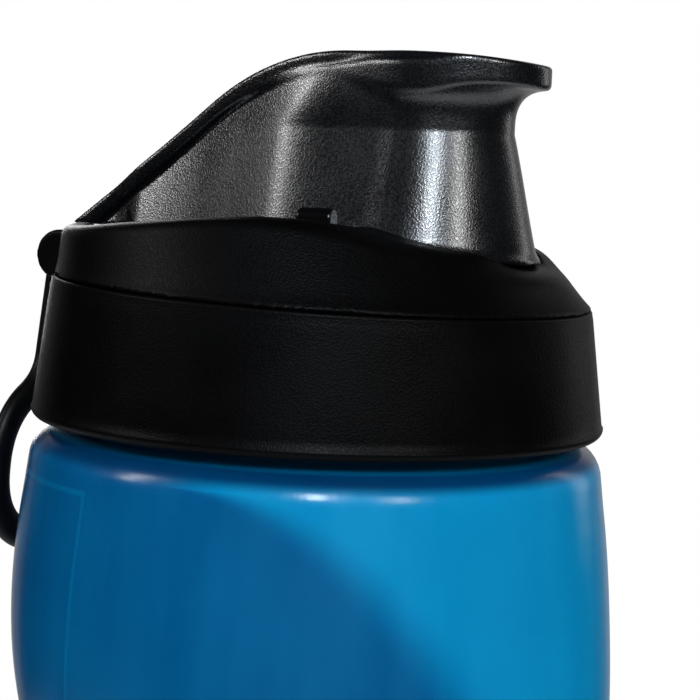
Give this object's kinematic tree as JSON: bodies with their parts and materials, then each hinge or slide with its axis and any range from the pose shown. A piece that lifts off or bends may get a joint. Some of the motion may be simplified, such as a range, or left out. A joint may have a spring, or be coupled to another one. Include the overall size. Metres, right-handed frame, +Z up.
{
  "type": "squeeze bottle",
  "caption": "Soft squeeze bottle with a waisted body, a screw-on lid, a flip cap that seals the drinking spout and a swinging carry loop.",
  "frame": {"origin": "on the bottle's axis, at the underside of its base", "axes": "+Z up along the bottle's axis, +X to the front, where the drinking spout is; the hinge and the carry loop are at -X"},
  "size_m": [0.0802, 0.0782, 0.2413],
  "materials": {
    "body_blue": "translucent soft plastic, smooth",
    "lid_black": "fine leather-like grain",
    "cap_black": "satin with a fine grain",
    "loop_black": "smooth soft rubber",
    "tab_black": "semi-gloss",
    "insert_grey": "moulded, smooth",
    "silicone": "milky silicone",
    "pin_steel": "drawn steel pin"
  },
  "bodies": {
    "bottle": {"bottle_body": "body_blue"},
    "lift": {"neck_gasket": "silicone"},
    "lid": {"threaded_insert": "insert_grey", "grip_collar": "lid_black", "lid_deck": "lid_black", "drinking_spout": "insert_grey", "spout_valve": "silicone", "valve_retainer": "insert_grey", "hinge_pin": "pin_steel", "latch_tab_left": "tab_black", "latch_tab_right": "tab_black"},
    "cap": {"flip_cap": "cap_black", "spout_seal": "silicone"},
    "loop": {"carry_loop": "loop_black"}
  },
  "joints": [
    {"name": "lid_lift", "type": "slide", "parent": "bottle", "child": "lift", "axis": [0, 0, 1], "range_m": [0, 0.0076]},
    {"name": "lid_turn", "type": "hinge", "parent": "lift", "child": "lid", "pos_m": [0, 0, 0.195], "axis": [0, 0, 1], "range_deg": [0, 450]},
    {"name": "cap_flip", "type": "hinge", "parent": "lid", "child": "cap", "pos_m": [-0.0332, 0, 0.2144], "axis": [0, -1, 0], "range_deg": [0, 105]},
    {"name": "loop_swing", "type": "hinge", "parent": "lid", "child": "loop", "pos_m": [-0.0332, 0, 0.2144], "axis": [0, 1, 0], "range_deg": [0, 60]}
  ],
  "couplings": [
    {"joint": "lid_lift", "follows": "lid_turn", "m_per_rad": 0.00095493}
  ]
}
